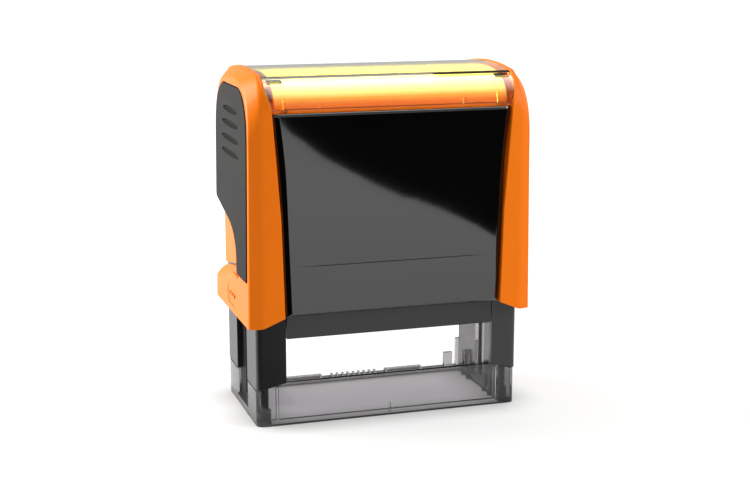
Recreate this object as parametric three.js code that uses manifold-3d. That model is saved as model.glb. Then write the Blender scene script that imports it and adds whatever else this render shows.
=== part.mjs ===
// Self-inking stamp, modelled piece by piece in millimetres.
// X runs left to right, Y front to back, Z up. The origin is on the table under the stamp's centre.
// A cap slides down over a frame against a coil spring and carries the axle of the text plate,
// which turns half a turn on the way from the ink pad above it to the paper below it.
import * as THREE from "three";
import { mergeVertices } from "three/addons/utils/BufferGeometryUtils.js";
import Module from "manifold-3d";

const wasm = await Module();
wasm.setup();

// ---- Driving dimensions ------------------------------------------------------------------------
const GAP = 0.3; // between pieces that touch
const FAR = 60; // well outside the stamp, for cutters

const BASE = {
  halfWidth: 35.8, halfDepth: 17.5, corner: 2, wall: 1.2, rim: 1.3, frontWall: 11.5, sideWall: 9.5,
};
const PRINT = { halfWidth: 31.8, halfDepth: 15.2 }; // the opening that the text plate prints through
const END_WALL = {
  inner: 32, outer: 33, front: -12, rear: 15.4, top: 26, ribIn: 1.1, ribTop: 7, ribHalf: 0.4,
};
const END_WALL_RIBS = [-9.5, -5.5, 6.5, 10.5];
const CORNER_WEB = { inner: 29.9, outer: 30.6, front: -17.4, rear: -15.4, top: 10.4 };
const CENTRE_MARK = { halfWidth: 0.3, depth: 0.5, bottom: 0.8, top: 3.4 };
// Raised positioning marks on the rear rim: a long loop on each side and ticks between them
const LOOP = { inner: 9.5, outer: 20.5, front: 15.3, rear: 17.1, line: 0.45, top: 2.1 };
const TICKS = { count: 9, step: 1.6, halfWidth: 0.25, front: 15.6, rear: 16.9 };
const CLIP = { inner: 27.6, outer: 30.2, front: 15.7, rear: 16.9, top: 5.4 }; // stands on the rear rim
// The black end frames
const END = { inner: 33.3, groove: 34.3, grooveHalf: 6, top: 44, frontY: 15.6, rearY: 17.2 };
const TONGUE = { front: -12, rear: 15.9, bottom: 1.6, top: 12 }; // stands inside the clear base
const PEG = { r: 0.7, studR: 1.3, x: 33, y: -14.7, bottom: 1.6, studTop: 4, top: 12 };
const AXLE_SLOT = { halfWidth: 2.25, bottom: 3.5, top: 31.8 };
const LEDGE = { inner: 31.9, halfDepth: 14.5, bottom: 34.8, top: 36.2 }; // the cartridge slides on it
const LEG = { innerX: 28.3, frontY: 18.6, cornerY: 17.4, outerFoot: 8.7, innerFoot: 11.8, wall: 1.4 };
const CROSSBAR = { halfWidth: 28, bottom: 23.4, top: 43.8, ribBottom: 33.4, ribTop: 34.8, ribBack: 16.2 };
const REAR_CROSSBAR = { halfWidth: 33, frontY: 16, rearY: 17.2, bottom: 16.6, top: 36 };
const CARTRIDGE = {
  bottom: 36.5, halfWidth: 32.9, halfDepth: 15.2, top: 41.5, roof: 1.2, sideWall: 2, endWall: 1.6,
};
const TAB = { halfWidth: 12, halfDepth: 2.2, y: 16.4, bottom: 37.4, top: 40.9 }; // what a finger pulls
const LID = { halfWidth: 32.7, halfDepth: 15, bottom: 41.8, top: 43.8 };
const PAD = { halfWidth: 30.6, halfDepth: 13.3, bottom: 36.4, top: 40 };
const DECK = {
  bottom: 44.3, top: 46.3, halfWidth: 34.2, halfDepth: 16.8, ribHalf: 0.6, ribDepth: 15, ribTop: 1.2,
};
const DECK_RIBS = [-24, -16, 16, 24];

const STROKE = 23.8; // travel of the cap
const AXLE = { z: 29.6, r: 1.9, hole: 2.0, end: 35.3 };
// Heights on the text plate count from its axle.
const PLATE = { halfLength: 31, halfDepth: 12.3, bottom: 1, top: 2.9, ribY: 8, ribHalf: 0.7, ribLength: 29 };
const HUB = { inner: 28.6, r: 4.2 };
const PIN = { inner: 26.5 };
const CAM = { inner: 31.15, outer: 31.75, halfLength: 6.4, halfHeight: 1.3, down: 5.8, pinY: 4.6, pinR: 0.9 };
const CUSHION = { bottom: 3.1, top: 4.1 };
const DIE = { halfLength: 29.3, halfDepth: 11.2, bottom: 4.3, relief: 0.6, face: 5.8 };
// Raised bars that stand for lines of type, as [left, right, y, half-height]
const DIE_BARS = [
  [-26, 26, 9.4, 0.35], [-26, 26, -9.4, 0.35], [-20, 20, 5, 1.3], [-24, 24, 0.6, 0.8], [-17, 17, -4.2, 0.8],
];

const CAP = {
  bottom: 27, bottomInner: 29.7, flatTo: 35.3, frontY: 22, shoulder: 80.5, cavityX: 36.1, cavityY: 19,
};
// The flat sides of the cap lean in towards the top.
const SIDE = { bottomX: 38.3, topX: 37.6, topZ: 78, frontY: 19.9, shoulder: 74 };
const PANEL = { bottom: 29.8, top: 81.5, inset: 0.25, back: 1.65, seamGap: 0.25 };
const LIP = { width: 1.3, inset: 1.95, back: 2.95, bottom: 31, top: 81 }; // a cheek's, behind the panel
// A fine line across the front panel's lower third
const LINE = { halfWidth: 26.3, bottom: 42.5, top: 43, floorY: 21.45 };
const WINDOW = { bottom: 81.8, seamGap: 0.2 };
const CORE = {
  inset: 1.95, back: 3.05, halfWidth: 27.6, bottom: 30.2,
  crownInset: 2.6, crownBack: 3.6, crownBottom: 82.2, crownHalfWidth: 31,
  deckBottom: 81.8, deckTop: 83.8, deckHalfWidth: 31, deckHalfDepth: 19.2, tabHalf: 12, tabX: 35.8,
};
const CARD = { bottom: 82.5, inset: 2, back: 2.3, halfWidth: 30.9 }; // bent over the core's crown
// Half-width of the seam between cheeks and panel, as [half-width, height]
const SEAM = [
  [29.2, 20], [29.2, 30], [29.8, 50], [30.3, 65], [31.2, 76], [32, 82], [33.3, 88], [33.4, 100],
];
const NOTCH = {
  floorX: 36.9, throughY: 13.5, rearTop: 55.2, ledge: 36.8, rearLedge: 33.4,
  doorTop: 68.2, doorBottom: 36.2, doorX: 33.4,
};
const GRIP = { front: 18.6, top: 87, bottom: 38.6, cornerY: 6.7, sunk: 0.6, proud: 0.3, recess: 0.9 };
const GROOVE = { halfHeight: 0.9, y: -0.4, depth: 0.15 };
const GROOVES = [[7.4, 80.2], [8.5, 76.6], [9.1, 72.7], [9.3, 69]]; // [half-length, height]
const REAR_BAR = { halfWidth: 28.9, bottom: 28, top: 35.8, frontY: 19.5, rearY: 21.7 };
const ARM = {
  inner: 34.6, outer: 35.9, thinOuter: 35.35, halfDepth: 5.6, bottom: 27.3, thinTo: 35.4, top: 81.5,
};
const LOCK = { z: 31.6, halfLength: 5.5, halfHeight: 2.7, inner: 36.7, outer: 38.45, gap: 0.3, rise: 0.3 };
const LOCK_RIBS = [-2.6, 0, 2.6];
const SPRING = { r: 6.45, wire: 0.55, bottom: 47.7, top: 80.6, turns: 8 };
const POST = { r: 4.8, seatR: 8.4, bottom: 46.6, seatTop: 47.4, top: 56 };
const CUP = { r: 8.6, bore: 7.6, bottom: 72.6, ceiling: 80.9, top: 81.5 };

// ---- Materials ---------------------------------------------------------------------------------
const material = (color, roughness, metalness = 0, opacity = 1) =>
  new THREE.MeshStandardMaterial({ color, roughness, metalness, opacity, transparent: opacity < 1 });
const orange = material(0xee7a1a, 0.4);
const glossBlack = material(0x0b0b0c, 0.08);
const frameBlack = material(0x1d1d1f, 0.4);
const softGrey = material(0x4c4d4f, 0.75);
const smokeClear = material(0x8d8c90, 0.08, 0, 0.45);
const amberClear = material(0xf7e04a, 0.06, 0, 0.45);
const steel = material(0xb9bcc0, 0.3, 1);
const whiteCard = material(0xf4f2ec, 0.7);
const inkBlack = material(0x101014, 0.95);
const rubber = material(0x6d3b34, 0.8);
const foam = material(0x8b8f94, 0.9);

// ---- Solids ------------------------------------------------------------------------------------
const solid = (geometry) => {
  const bare = geometry.index ? geometry.toNonIndexed() : geometry.clone();
  bare.deleteAttribute("normal");
  bare.deleteAttribute("uv");
  const merged = mergeVertices(bare, 1e-4);
  return new wasm.Manifold(
    new wasm.Mesh({
      numProp: 3,
      vertProperties: new Float32Array(merged.attributes.position.array),
      triVerts: new Uint32Array(merged.index.array),
    }),
  );
};
const geometryOf = (made) => {
  const m = made.getMesh();
  const g = new THREE.BufferGeometry();
  g.setAttribute("position", new THREE.BufferAttribute(m.vertProperties, 3));
  g.setIndex(new THREE.BufferAttribute(m.triVerts, 1));
  const flat = g.toNonIndexed();
  flat.computeVertexNormals();
  return flat;
};
const outline = (points) => new THREE.Shape(points.map(([a, b]) => new THREE.Vector2(a, b)));
const basis = {
  X: [[0, 1, 0], [0, 0, 1], [1, 0, 0]],
  Y: [[1, 0, 0], [0, 0, 1], [0, -1, 0]],
  Z: [[1, 0, 0], [0, 1, 0], [0, 0, 1]],
};
// A shape drawn in (Y, Z), (X, Z) or (X, Y) and swept along X, Y or Z from low to high.
const sweep = (axis, shape, low, high, curveSegments = 10) => {
  const g = new THREE.ExtrudeGeometry(shape, { depth: high - low, bevelEnabled: false, curveSegments });
  const [a, b, c] = basis[axis].map((v) => new THREE.Vector3(...v));
  g.applyMatrix4(new THREE.Matrix4().makeBasis(a, b, c));
  if (axis === "Y") g.translate(0, high, 0);
  else g.translate(axis === "X" ? low : 0, 0, axis === "Z" ? low : 0);
  return solid(g);
};
const box = (x0, x1, y0, y1, z0, z1) => {
  const g = new THREE.BoxGeometry(x1 - x0, y1 - y0, z1 - z0);
  return solid(g.translate((x0 + x1) / 2, (y0 + y1) / 2, (z0 + z1) / 2));
};
const rodX = (x0, x1, y, z, r, sides = 28) => {
  const g = new THREE.CylinderGeometry(r, r, x1 - x0, sides).rotateZ(Math.PI / 2);
  return solid(g.translate((x0 + x1) / 2, y, z));
};
const rodZ = (r, x, y, z0, z1, sides = 28) => {
  const g = new THREE.CylinderGeometry(r, r, z1 - z0, sides).rotateX(Math.PI / 2);
  return solid(g.translate(x, y, (z0 + z1) / 2));
};
const roundedRect = (halfA, halfB, r) => {
  const s = new THREE.Shape();
  s.moveTo(-halfA + r, -halfB);
  s.lineTo(halfA - r, -halfB);
  s.absarc(halfA - r, -halfB + r, r, -Math.PI / 2, 0);
  s.lineTo(halfA, halfB - r);
  s.absarc(halfA - r, halfB - r, r, 0, Math.PI / 2);
  s.lineTo(-halfA + r, halfB);
  s.absarc(-halfA + r, halfB - r, r, Math.PI / 2, Math.PI);
  s.lineTo(-halfA, -halfB + r);
  s.absarc(-halfA + r, -halfB + r, r, Math.PI, 1.5 * Math.PI);
  return s;
};
const stadium = (halfLength, halfHeight, y, z) => {
  const s = new THREE.Shape();
  s.absarc(y + halfLength - halfHeight, z, halfHeight, -Math.PI / 2, Math.PI / 2);
  s.absarc(y - halfLength + halfHeight, z, halfHeight, Math.PI / 2, 1.5 * Math.PI);
  return s;
};
const mirrorX = (made) => made.mirror([1, 0, 0]);
// A box from one distance to another off the centre plane, on the right (1) or the left (-1).
const sideBox = (side, near, far, ...rest) =>
  box(Math.min(side * near, side * far), Math.max(side * near, side * far), ...rest);
const sideRod = (side, near, far, y, z, r) =>
  rodX(Math.min(side * near, side * far), Math.max(side * near, side * far), y, z, r);

// ---- Cap profile -------------------------------------------------------------------------------
// The cap's side outline in (Y, Z): straight front, a shoulder curve to a crease, and a crowned top.
const archPoints = (spec, bottom) => {
  const { depth, shoulder, creaseY, creaseZ, pull, lean, rise } = spec;
  const side = new THREE.CubicBezierCurve(
    new THREE.Vector2(-depth, shoulder),
    new THREE.Vector2(-depth, pull),
    new THREE.Vector2(-lean[0], lean[1]),
    new THREE.Vector2(-creaseY, creaseZ),
  ).getPoints(10);
  const crown = new THREE.QuadraticBezierCurve(
    new THREE.Vector2(-creaseY, creaseZ),
    new THREE.Vector2(0, creaseZ + 2 * rise),
    new THREE.Vector2(creaseY, creaseZ),
  ).getPoints(10);
  const back = [...side].reverse().map((p) => new THREE.Vector2(-p.x, p.y));
  const [start, end] = [new THREE.Vector2(-depth, bottom), new THREE.Vector2(depth, bottom)];
  return [start, ...side, ...crown.slice(1), ...back.slice(1), end];
};
const capArch = (inset = 0) => ({
  depth: CAP.frontY - inset,
  shoulder: CAP.shoulder,
  creaseY: 16 - 0.6 * inset,
  creaseZ: 90.4 - 0.95 * inset,
  pull: 85.6 - 0.3 * inset,
  lean: [19.6 - 0.75 * inset, 88.4 - 0.8 * inset],
  rise: 1.3,
});
const sideArch = {
  depth: SIDE.frontY,
  shoulder: SIDE.shoulder,
  creaseY: 9,
  creaseZ: 88.6,
  pull: 82,
  lean: [16.5, 87.2],
  rise: 0.5,
};
const archPrism = (inset, halfWidth) =>
  sweep("X", new THREE.Shape(archPoints(capArch(inset), 10)), -halfWidth, halfWidth);
// The wall between two insets of the cap's profile.
const skin = (outerInset, innerInset, halfWidth) =>
  archPrism(outerInset, halfWidth).subtract(archPrism(innerInset, halfWidth + 1));
const seamOutline = (shrink, bottom, top) => {
  const rows = SEAM.filter(([, z]) => z > bottom && z < top);
  const at = (z) => {
    const k = SEAM.findIndex(([, height]) => height >= z);
    const [[x0, z0], [x1, z1]] = [SEAM[k - 1], SEAM[k]];
    return [x0 + ((x1 - x0) * (z - z0)) / (z1 - z0), z];
  };
  const right = [at(bottom), ...rows, at(top)].map(([x, z]) => [x - shrink, z]);
  return outline([...right, ...[...right].reverse().map(([x, z]) => [-x, z])]);
};
const seamPrism = (shrink, bottom, top) => sweep("Y", seamOutline(shrink, bottom, top), -FAR, FAR);

// A closed solid through rings of points that match one to one, with flat ends.
const loft = (rings) => {
  const n = rings[0].length;
  const flat = (ring) => ring.map((p) => new THREE.Vector2(p.y, p.z));
  const endFaces = (ring, start, facing) =>
    THREE.ShapeUtils.triangulateShape(flat(ring), []).flatMap(([a, b, c]) => {
      const [p, q, r] = [a, b, c].map((i) => flat(ring)[i]);
      const area = (q.x - p.x) * (r.y - p.y) - (q.y - p.y) * (r.x - p.x);
      return area * facing > 0 ? [start + a, start + b, start + c] : [start + a, start + c, start + b];
    });
  const turn = Math.sign(THREE.ShapeUtils.area(flat(rings[0])));
  const sides = [];
  for (let k = 0; k + 1 < rings.length; k++)
    for (let i = 0; i < n; i++) {
      const [a, b] = [k * n + i, k * n + ((i + 1) % n)];
      if (turn > 0) sides.push(a, b, b + n, a, b + n, a + n);
      else sides.push(b, a, a + n, b, a + n, b + n);
    }
  const g = new THREE.BufferGeometry().setFromPoints(rings.flat());
  g.setIndex([...endFaces(rings[0], 0, -1), ...sides, ...endFaces(rings.at(-1), (rings.length - 1) * n, 1)]);
  return solid(g);
};
const sideX = (z, proud = 0) =>
  SIDE.bottomX + proud - ((SIDE.bottomX - SIDE.topX) * (z - CAP.bottom)) / (SIDE.topZ - CAP.bottom);

// ---- Cheeks, the coloured ends of the cap ------------------------------------------------------
// Where the flat side steps in, as an outline in (Y, Z): open to the rear, under the grip and above the foot.
const notchOutline = () => {
  const s = new THREE.Shape();
  s.moveTo(FAR, NOTCH.rearTop + 9);
  s.lineTo(20, NOTCH.rearTop);
  s.lineTo(3, 51.2);
  s.bezierCurveTo(-3.5, 49.6, -6.5, 46.5, -6.5, 41);
  s.lineTo(-6.5, 37.3);
  s.lineTo(12, NOTCH.ledge);
  s.bezierCurveTo(16, 36.6, 18.5, 35.6, 20, NOTCH.rearLedge);
  s.lineTo(FAR, NOTCH.rearLedge);
  return s;
};
const gripOutline = (grow = 0) => {
  const s = new THREE.Shape();
  const [front, top, bottom, corner] = [
    GRIP.front + grow, GRIP.top + grow, GRIP.bottom - grow, grow - GRIP.cornerY,
  ];
  s.moveTo(front, 55.1 - grow);
  s.lineTo(3, 51.4 - grow);
  s.bezierCurveTo(-3.4 + 0.4 * grow, 49.8 - grow, corner, 46.5 - 0.5 * grow, corner, 41);
  s.lineTo(corner, bottom + 1);
  s.quadraticCurveTo(corner, bottom, -7.7, bottom);
  s.lineTo(-17.6, bottom);
  s.quadraticCurveTo(-front, bottom, -front, 39.6);
  s.lineTo(-front, 74);
  s.bezierCurveTo(-front, 81.3, -15.3 - grow, 85.9 + grow, -9, top);
  s.lineTo(9, top);
  s.bezierCurveTo(15.3 + grow, 85.9 + grow, front, 81.3, front, 74);
  return s;
};
// The slab, parallel to the leaning side, that the grip fills on the right.
const gripSlab = (inner, outer) =>
  sweep("Y", outline([
    [sideX(20, inner), 20], [sideX(20, outer), 20], [sideX(100, outer), 100], [sideX(100, inner), 100],
  ]), -FAR, FAR);

const rightCheek = () => {
  const flatX = (z) => CAP.flatTo - Math.max(0, z - SIDE.shoulder) * 0.06; // where the corner bevel starts
  const ring = (spec, x) => archPoints(spec, 20).map((p) => new THREE.Vector3(x(p.y), p.x, p.y));
  let made = loft([ring(capArch(), () => 24), ring(capArch(), flatX), ring(sideArch, (z) => sideX(z))]);
  made = made.subtract(seamPrism(0, 20.5, 99));
  const { bottom, bottomInner, flatTo } = CAP;
  const under = outline([
    [0, 0], [FAR, 0], [FAR, bottom], [flatTo, bottom], [SEAM[0][0], bottomInner], [0, bottomInner],
  ]);
  made = made.subtract(sweep("Y", under, -FAR, FAR));
  made = made.subtract(box(0, CAP.cavityX, -CAP.cavityY, CAP.cavityY, 0, SIDE.shoulder));
  made = made.subtract(box(0, CAP.cavityX, -CORE.tabHalf - GAP, CORE.tabHalf + GAP, 73, CORE.deckTop + GAP));
  made = made.subtract(sweep("X", notchOutline(), NOTCH.floorX, FAR));
  const through = sweep("X", notchOutline(), 20, FAR).intersect(box(0, FAR, NOTCH.throughY, FAR, 0, FAR));
  made = made.subtract(through);
  // the cartridge slides out here
  made = made.subtract(box(0, NOTCH.doorX, NOTCH.throughY, FAR, NOTCH.doorBottom, NOTCH.doorTop));
  // the ledge on top of the foot is bevelled, wider towards the rear
  const bevel = sweep("Y", outline([[0, 0], [4, 0], [4, 4], [-2.6, 4]]), -9, 26);
  made = made.subtract(bevel.rotate([-9.5, 0, 0]).translate([38.2, 0, 35.9]));
  made = made.subtract(sweep("X", gripOutline(GAP), 35, FAR).intersect(gripSlab(-GRIP.recess, FAR)));
  const lockHole = stadium(LOCK.halfLength + LOCK.gap, LOCK.halfHeight + LOCK.gap, 0, LOCK.z);
  made = made.subtract(sweep("X", lockHole, 35, FAR));
  const beyondLip = seamPrism(LIP.width, LIP.bottom - 1, LIP.top + 1);
  const band = seamPrism(-0.2, LIP.bottom, LIP.top).subtract(beyondLip);
  const lip = skin(LIP.inset, LIP.back, 36).intersect(band).intersect(box(0, FAR, -FAR, 0, 0, FAR * 2));
  return made.add(lip);
};
const rightGrip = () => {
  let made = sweep("X", gripOutline(0), 34, FAR, 12).intersect(gripSlab(-GRIP.sunk, GRIP.proud));
  for (const [half, z] of GROOVES) {
    const groove = sweep("X", stadium(half, GROOVE.halfHeight, GROOVE.y, z), 36, FAR, 6);
    made = made.subtract(groove.intersect(gripSlab(-GROOVE.depth, 3)));
  }
  return made;
};

// ---- Cap panels, window and core ---------------------------------------------------------------
const frontPanel = () => {
  const face = skin(PANEL.inset, PANEL.back, 34).intersect(seamPrism(PANEL.seamGap, PANEL.bottom, PANEL.top));
  const front = face.intersect(box(-FAR, FAR, -FAR, 0, 0, FAR * 2));
  return front.subtract(box(-LINE.halfWidth, LINE.halfWidth, -FAR, -LINE.floorY, LINE.bottom, LINE.top));
};
const rearPanel = () =>
  skin(PANEL.inset, PANEL.back, 34)
    .intersect(seamPrism(PANEL.seamGap, NOTCH.doorTop, PANEL.top))
    .intersect(box(-FAR, FAR, 0, FAR, 0, FAR * 2));
const indexWindow = () =>
  skin(PANEL.inset, PANEL.back, 36).intersect(seamPrism(WINDOW.seamGap, WINDOW.bottom, 99));
const capCore = () => {
  const { deckHalfWidth: deckX, deckHalfDepth: deckY, tabX } = CORE;
  const slice = (bottom, top) => box(-FAR, FAR, -FAR, FAR, bottom, top);
  const walls = skin(CORE.inset, CORE.back, CORE.halfWidth).intersect(slice(CORE.bottom, CORE.crownBottom));
  const crown = skin(CORE.crownInset, CORE.crownBack, CORE.crownHalfWidth).intersect(
    slice(CORE.crownBottom - 1, FAR * 2),
  );
  const rearCut = box(-FAR, FAR, 0, FAR, 0, NOTCH.doorTop);
  const deck = box(-deckX, deckX, -deckY, deckY, CORE.deckBottom, CORE.deckTop);
  const tabs = box(-tabX, tabX, -CORE.tabHalf, CORE.tabHalf, CORE.deckBottom, CORE.deckTop);
  return walls.subtract(rearCut).add(deck).add(tabs).add(crown);
};

// ---- Clear base --------------------------------------------------------------------------------
const clearBase = () => {
  const { halfWidth: w, halfDepth: d, wall, rim } = BASE;
  let made = sweep("Z", roundedRect(w, d, BASE.corner), 0, BASE.frontWall, 6);
  made = made.subtract(box(-w + wall, w - wall, -d + wall, d - wall, rim, FAR));
  made = made.subtract(box(-PRINT.halfWidth, PRINT.halfWidth, -PRINT.halfDepth, PRINT.halfDepth, -1, FAR));
  for (const side of [-1, 1]) {
    const edge = outline([
      [side * LEG.innerX, BASE.frontWall], [side * 37, 9.2], [side * 37, 30], [side * LEG.innerX, 30],
    ]);
    made = made.subtract(sweep("Y", edge, -FAR, FAR));
    made = made.subtract(sideBox(side, 33, 40, -END.grooveHalf - 0.2, END.grooveHalf + 0.2, 2, FAR));
    made = made.subtract(sideBox(side, 30, 40, -END.frontY, FAR, BASE.sideWall - 0.2, FAR));
  }
  made = made.subtract(box(-31.5, 31.5, 10, FAR, rim, FAR)); // the rear is only a low rim
  const { inner, outer, front, rear, top, ribIn, ribTop, ribHalf } = END_WALL;
  let endWall = box(inner, outer, front, rear, 0, top);
  endWall = endWall.subtract(box(30, 35, -2.4, 2.4, AXLE_SLOT.bottom, FAR));
  const rib = outline([[inner - ribIn, 0], [inner + 0.3, 0], [inner + 0.3, ribTop], [inner - 0.1, ribTop]]);
  for (const y of END_WALL_RIBS) endWall = endWall.add(sweep("Y", rib, y - ribHalf, y + ribHalf));
  const frameBox = (margin, bottom, height) =>
    box(LOOP.inner + margin, LOOP.outer - margin, LOOP.front + margin, LOOP.rear - margin, bottom, height);
  const loop = frameBox(0, rim - 0.2, LOOP.top).subtract(frameBox(LOOP.line, rim, FAR));
  const clip = box(CLIP.inner, CLIP.outer, CLIP.front, CLIP.rear, rim - 0.2, CLIP.top);
  const web = box(CORNER_WEB.inner, CORNER_WEB.outer, CORNER_WEB.front, CORNER_WEB.rear, 0, CORNER_WEB.top);
  for (const detail of [endWall, loop, clip, web]) made = made.add(detail).add(mirrorX(detail));
  for (let k = 0; k < TICKS.count; k++) {
    const left = (k - (TICKS.count - 1) / 2) * TICKS.step - TICKS.halfWidth;
    const right = left + 2 * TICKS.halfWidth;
    made = made.add(box(left, right, TICKS.front, TICKS.rear, rim - 0.2, LOOP.top));
  }
  const mark = CENTRE_MARK;
  return made.subtract(box(-mark.halfWidth, mark.halfWidth, -FAR, -d + mark.depth, mark.bottom, mark.top));
};

// ---- Black frame -------------------------------------------------------------------------------
const rightEndFrame = () => {
  const w = BASE.halfWidth;
  const plan = new THREE.Shape();
  plan.moveTo(END.inner, END.rearY);
  plan.lineTo(END.inner, -END.frontY);
  plan.lineTo(LEG.innerX, -LEG.frontY + LEG.wall);
  plan.lineTo(LEG.innerX, -LEG.frontY);
  plan.lineTo(34.4, -17.7);
  plan.quadraticCurveTo(w, -LEG.cornerY, w, -16.2);
  plan.lineTo(w, -END.grooveHalf);
  plan.lineTo(END.groove, -END.grooveHalf);
  plan.lineTo(END.groove, END.grooveHalf);
  plan.lineTo(w, END.grooveHalf);
  plan.lineTo(w, 16.2);
  plan.quadraticCurveTo(w, END.rearY, w - 1, END.rearY);
  let made = sweep("Z", plan, BASE.sideWall + 0.2, END.top, 6);
  const foot = outline([[20, 0], [40, 0], [40, LEG.outerFoot], [LEG.innerX, LEG.innerFoot], [20, 14]]);
  made = made.subtract(sweep("Y", foot, -FAR, -END.frontY + 0.2));
  made = made.add(box(END.inner, END.groove, TONGUE.front, TONGUE.rear, TONGUE.bottom, TONGUE.top));
  const { halfWidth, bottom, top } = AXLE_SLOT;
  made = made.subtract(box(30, 40, -halfWidth, halfWidth, bottom, top));
  made = made.add(rodZ(PEG.r, PEG.x, PEG.y, PEG.bottom, PEG.top, 16));
  made = made.add(rodZ(PEG.studR, PEG.x, PEG.y, PEG.bottom, PEG.studTop, 20));
  return made.add(
    box(LEDGE.inner, END.inner + 0.1, -LEDGE.halfDepth, LEDGE.halfDepth, LEDGE.bottom, LEDGE.top),
  );
};
const frontCrossbar = () => {
  const { halfWidth: w, bottom, top, ribBottom, ribTop, ribBack } = CROSSBAR;
  const bar = box(-w, w, -LEG.frontY, -LEG.frontY + LEG.wall, bottom, top);
  return bar.add(box(-w, w, -LEG.cornerY, -ribBack, ribBottom, ribTop)); // stiffening rib
};
const rearCrossbar = () => {
  const { halfWidth: w, frontY, rearY, bottom, top } = REAR_CROSSBAR;
  return box(-w, w, frontY, rearY, bottom, top);
};
const padDeck = () => {
  const { halfWidth, halfDepth, bottom, top, ribHalf, ribDepth, ribTop } = DECK;
  let made = sweep("Z", roundedRect(halfWidth, halfDepth, 2), bottom, top, 4);
  for (const x of DECK_RIBS)
    made = made.add(box(x - ribHalf, x + ribHalf, -ribDepth, ribDepth, top - 0.1, top + ribTop));
  return made;
};

// ---- Ink cartridge -----------------------------------------------------------------------------
const inkCartridge = () => {
  const { halfWidth: w, halfDepth: d, bottom, top, roof, sideWall, endWall } = CARTRIDGE;
  const [cupX, cupY] = [w - sideWall, d - endWall];
  const tray = box(-w, w, -d, d, bottom, top).subtract(box(-cupX, cupX, -cupY, cupY, bottom - 1, top - roof));
  const tab = sweep("Z", roundedRect(TAB.halfWidth, TAB.halfDepth, 1), TAB.bottom, TAB.top, 4);
  return tray.add(tab.translate([0, TAB.y, 0]));
};
const cartridgeLid = () => sweep("Z", roundedRect(LID.halfWidth, LID.halfDepth, 1.5), LID.bottom, LID.top, 4);
const inkPad = () => sweep("Z", roundedRect(PAD.halfWidth, PAD.halfDepth, 1), PAD.bottom, PAD.top, 4);

// ---- Spring and its seats ----------------------------------------------------------------------
const coilSpring = () => {
  class Helix extends THREE.Curve {
    getPoint(t, target = new THREE.Vector3()) {
      const low = SPRING.bottom + SPRING.wire;
      const high = SPRING.top - SPRING.wire;
      const a = t * SPRING.turns * 2 * Math.PI;
      return target.set(SPRING.r * Math.cos(a), SPRING.r * Math.sin(a), low + (high - low) * t);
    }
  }
  const section = new THREE.Shape().absarc(0, 0, SPRING.wire, 0, 2 * Math.PI);
  const steps = SPRING.turns * 12;
  const options = { steps, curveSegments: 4, bevelEnabled: false, extrudePath: new Helix() };
  return new THREE.ExtrudeGeometry(section, options);
};
const springPost = () =>
  rodZ(POST.r, 0, 0, POST.bottom, POST.top, 24).add(rodZ(POST.seatR, 0, 0, POST.bottom, POST.seatTop, 24));
const springCup = () =>
  rodZ(CUP.r, 0, 0, CUP.bottom, CUP.top).subtract(rodZ(CUP.bore, 0, 0, CUP.bottom - 1, CUP.ceiling));

// ---- Text plate --------------------------------------------------------------------------------
const plateCarrier = () => {
  const z = AXLE.z;
  const { halfLength: l, halfDepth: d, bottom, top, ribY, ribHalf, ribLength } = PLATE;
  let made = box(-l, l, -d, d, z + bottom, z + top);
  for (const y of [-ribY, ribY])
    made = made.add(box(-ribLength, ribLength, y - ribHalf, y + ribHalf, z - 1.5, z + 1.5));
  for (const side of [-1, 1]) {
    made = made.add(sideRod(side, HUB.inner, l, 0, z, HUB.r));
    made = made.add(sideBox(side, HUB.inner, l, -HUB.r, HUB.r, z, z + 2));
    made = made.subtract(sideRod(side, HUB.inner - 3, l + 3, 0, z, AXLE.hole + 0.15));
  }
  return made.subtract(box(-FAR, FAR, -FAR, FAR, z + top, FAR));
};
const axlePin = () => rodX(PIN.inner, AXLE.end, 0, AXLE.z, AXLE.r);
const flipCam = () => {
  const z = AXLE.z - CAM.down;
  const disc = sweep("X", stadium(CAM.halfLength, CAM.halfHeight, 0, z), CAM.inner, CAM.outer, 6);
  const pin = (y) => rodX(CAM.inner - 1.65, CAM.inner + 0.15, y, z, CAM.pinR, 16);
  return disc.add(pin(-CAM.pinY)).add(pin(CAM.pinY));
};
const foamCushion = () => {
  const { halfLength: l, halfDepth: d } = DIE;
  return box(-l, l, -d, d, AXLE.z + CUSHION.bottom, AXLE.z + CUSHION.top);
};
const rubberDie = () => {
  const top = AXLE.z + DIE.face;
  const { halfLength: l, halfDepth: d, bottom, relief } = DIE;
  let made = box(-l, l, -d, d, AXLE.z + bottom, top - relief);
  for (const [x0, x1, y, half] of DIE_BARS)
    made = made.add(box(x0, x1, y - half, y + half, top - relief - 0.1, top));
  return made;
};

// ---- Cap arms and lock buttons -----------------------------------------------------------------
const axleArm = () => {
  const { inner, outer, thinOuter, halfDepth: d, thinTo } = ARM;
  const thick = box(inner, outer, -d, d, thinTo - 0.1, ARM.top);
  const thin = box(inner, thinOuter, -d, d, ARM.bottom, thinTo);
  return thick.add(thin).subtract(rodX(inner - 1, outer + 1, 0, AXLE.z, AXLE.hole));
};
const lockButton = () => {
  const face = stadium(LOCK.halfLength, LOCK.halfHeight, 0, LOCK.z);
  let made = sweep("X", face, LOCK.inner, LOCK.outer - LOCK.rise, 10);
  for (const y of LOCK_RIBS)
    made = made.add(sweep("X", stadium(0.9, 0.45, y, LOCK.z), LOCK.inner, LOCK.outer, 4));
  return made;
};
const rearBar = () => {
  const { halfWidth: w, frontY, rearY, bottom, top } = REAR_BAR;
  return box(-w, w, frontY, rearY, bottom, top);
};
const indexCard = () =>
  skin(CARD.inset, CARD.back, CARD.halfWidth).intersect(box(-FAR, FAR, -FAR, FAR, CARD.bottom, FAR * 2));

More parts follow.
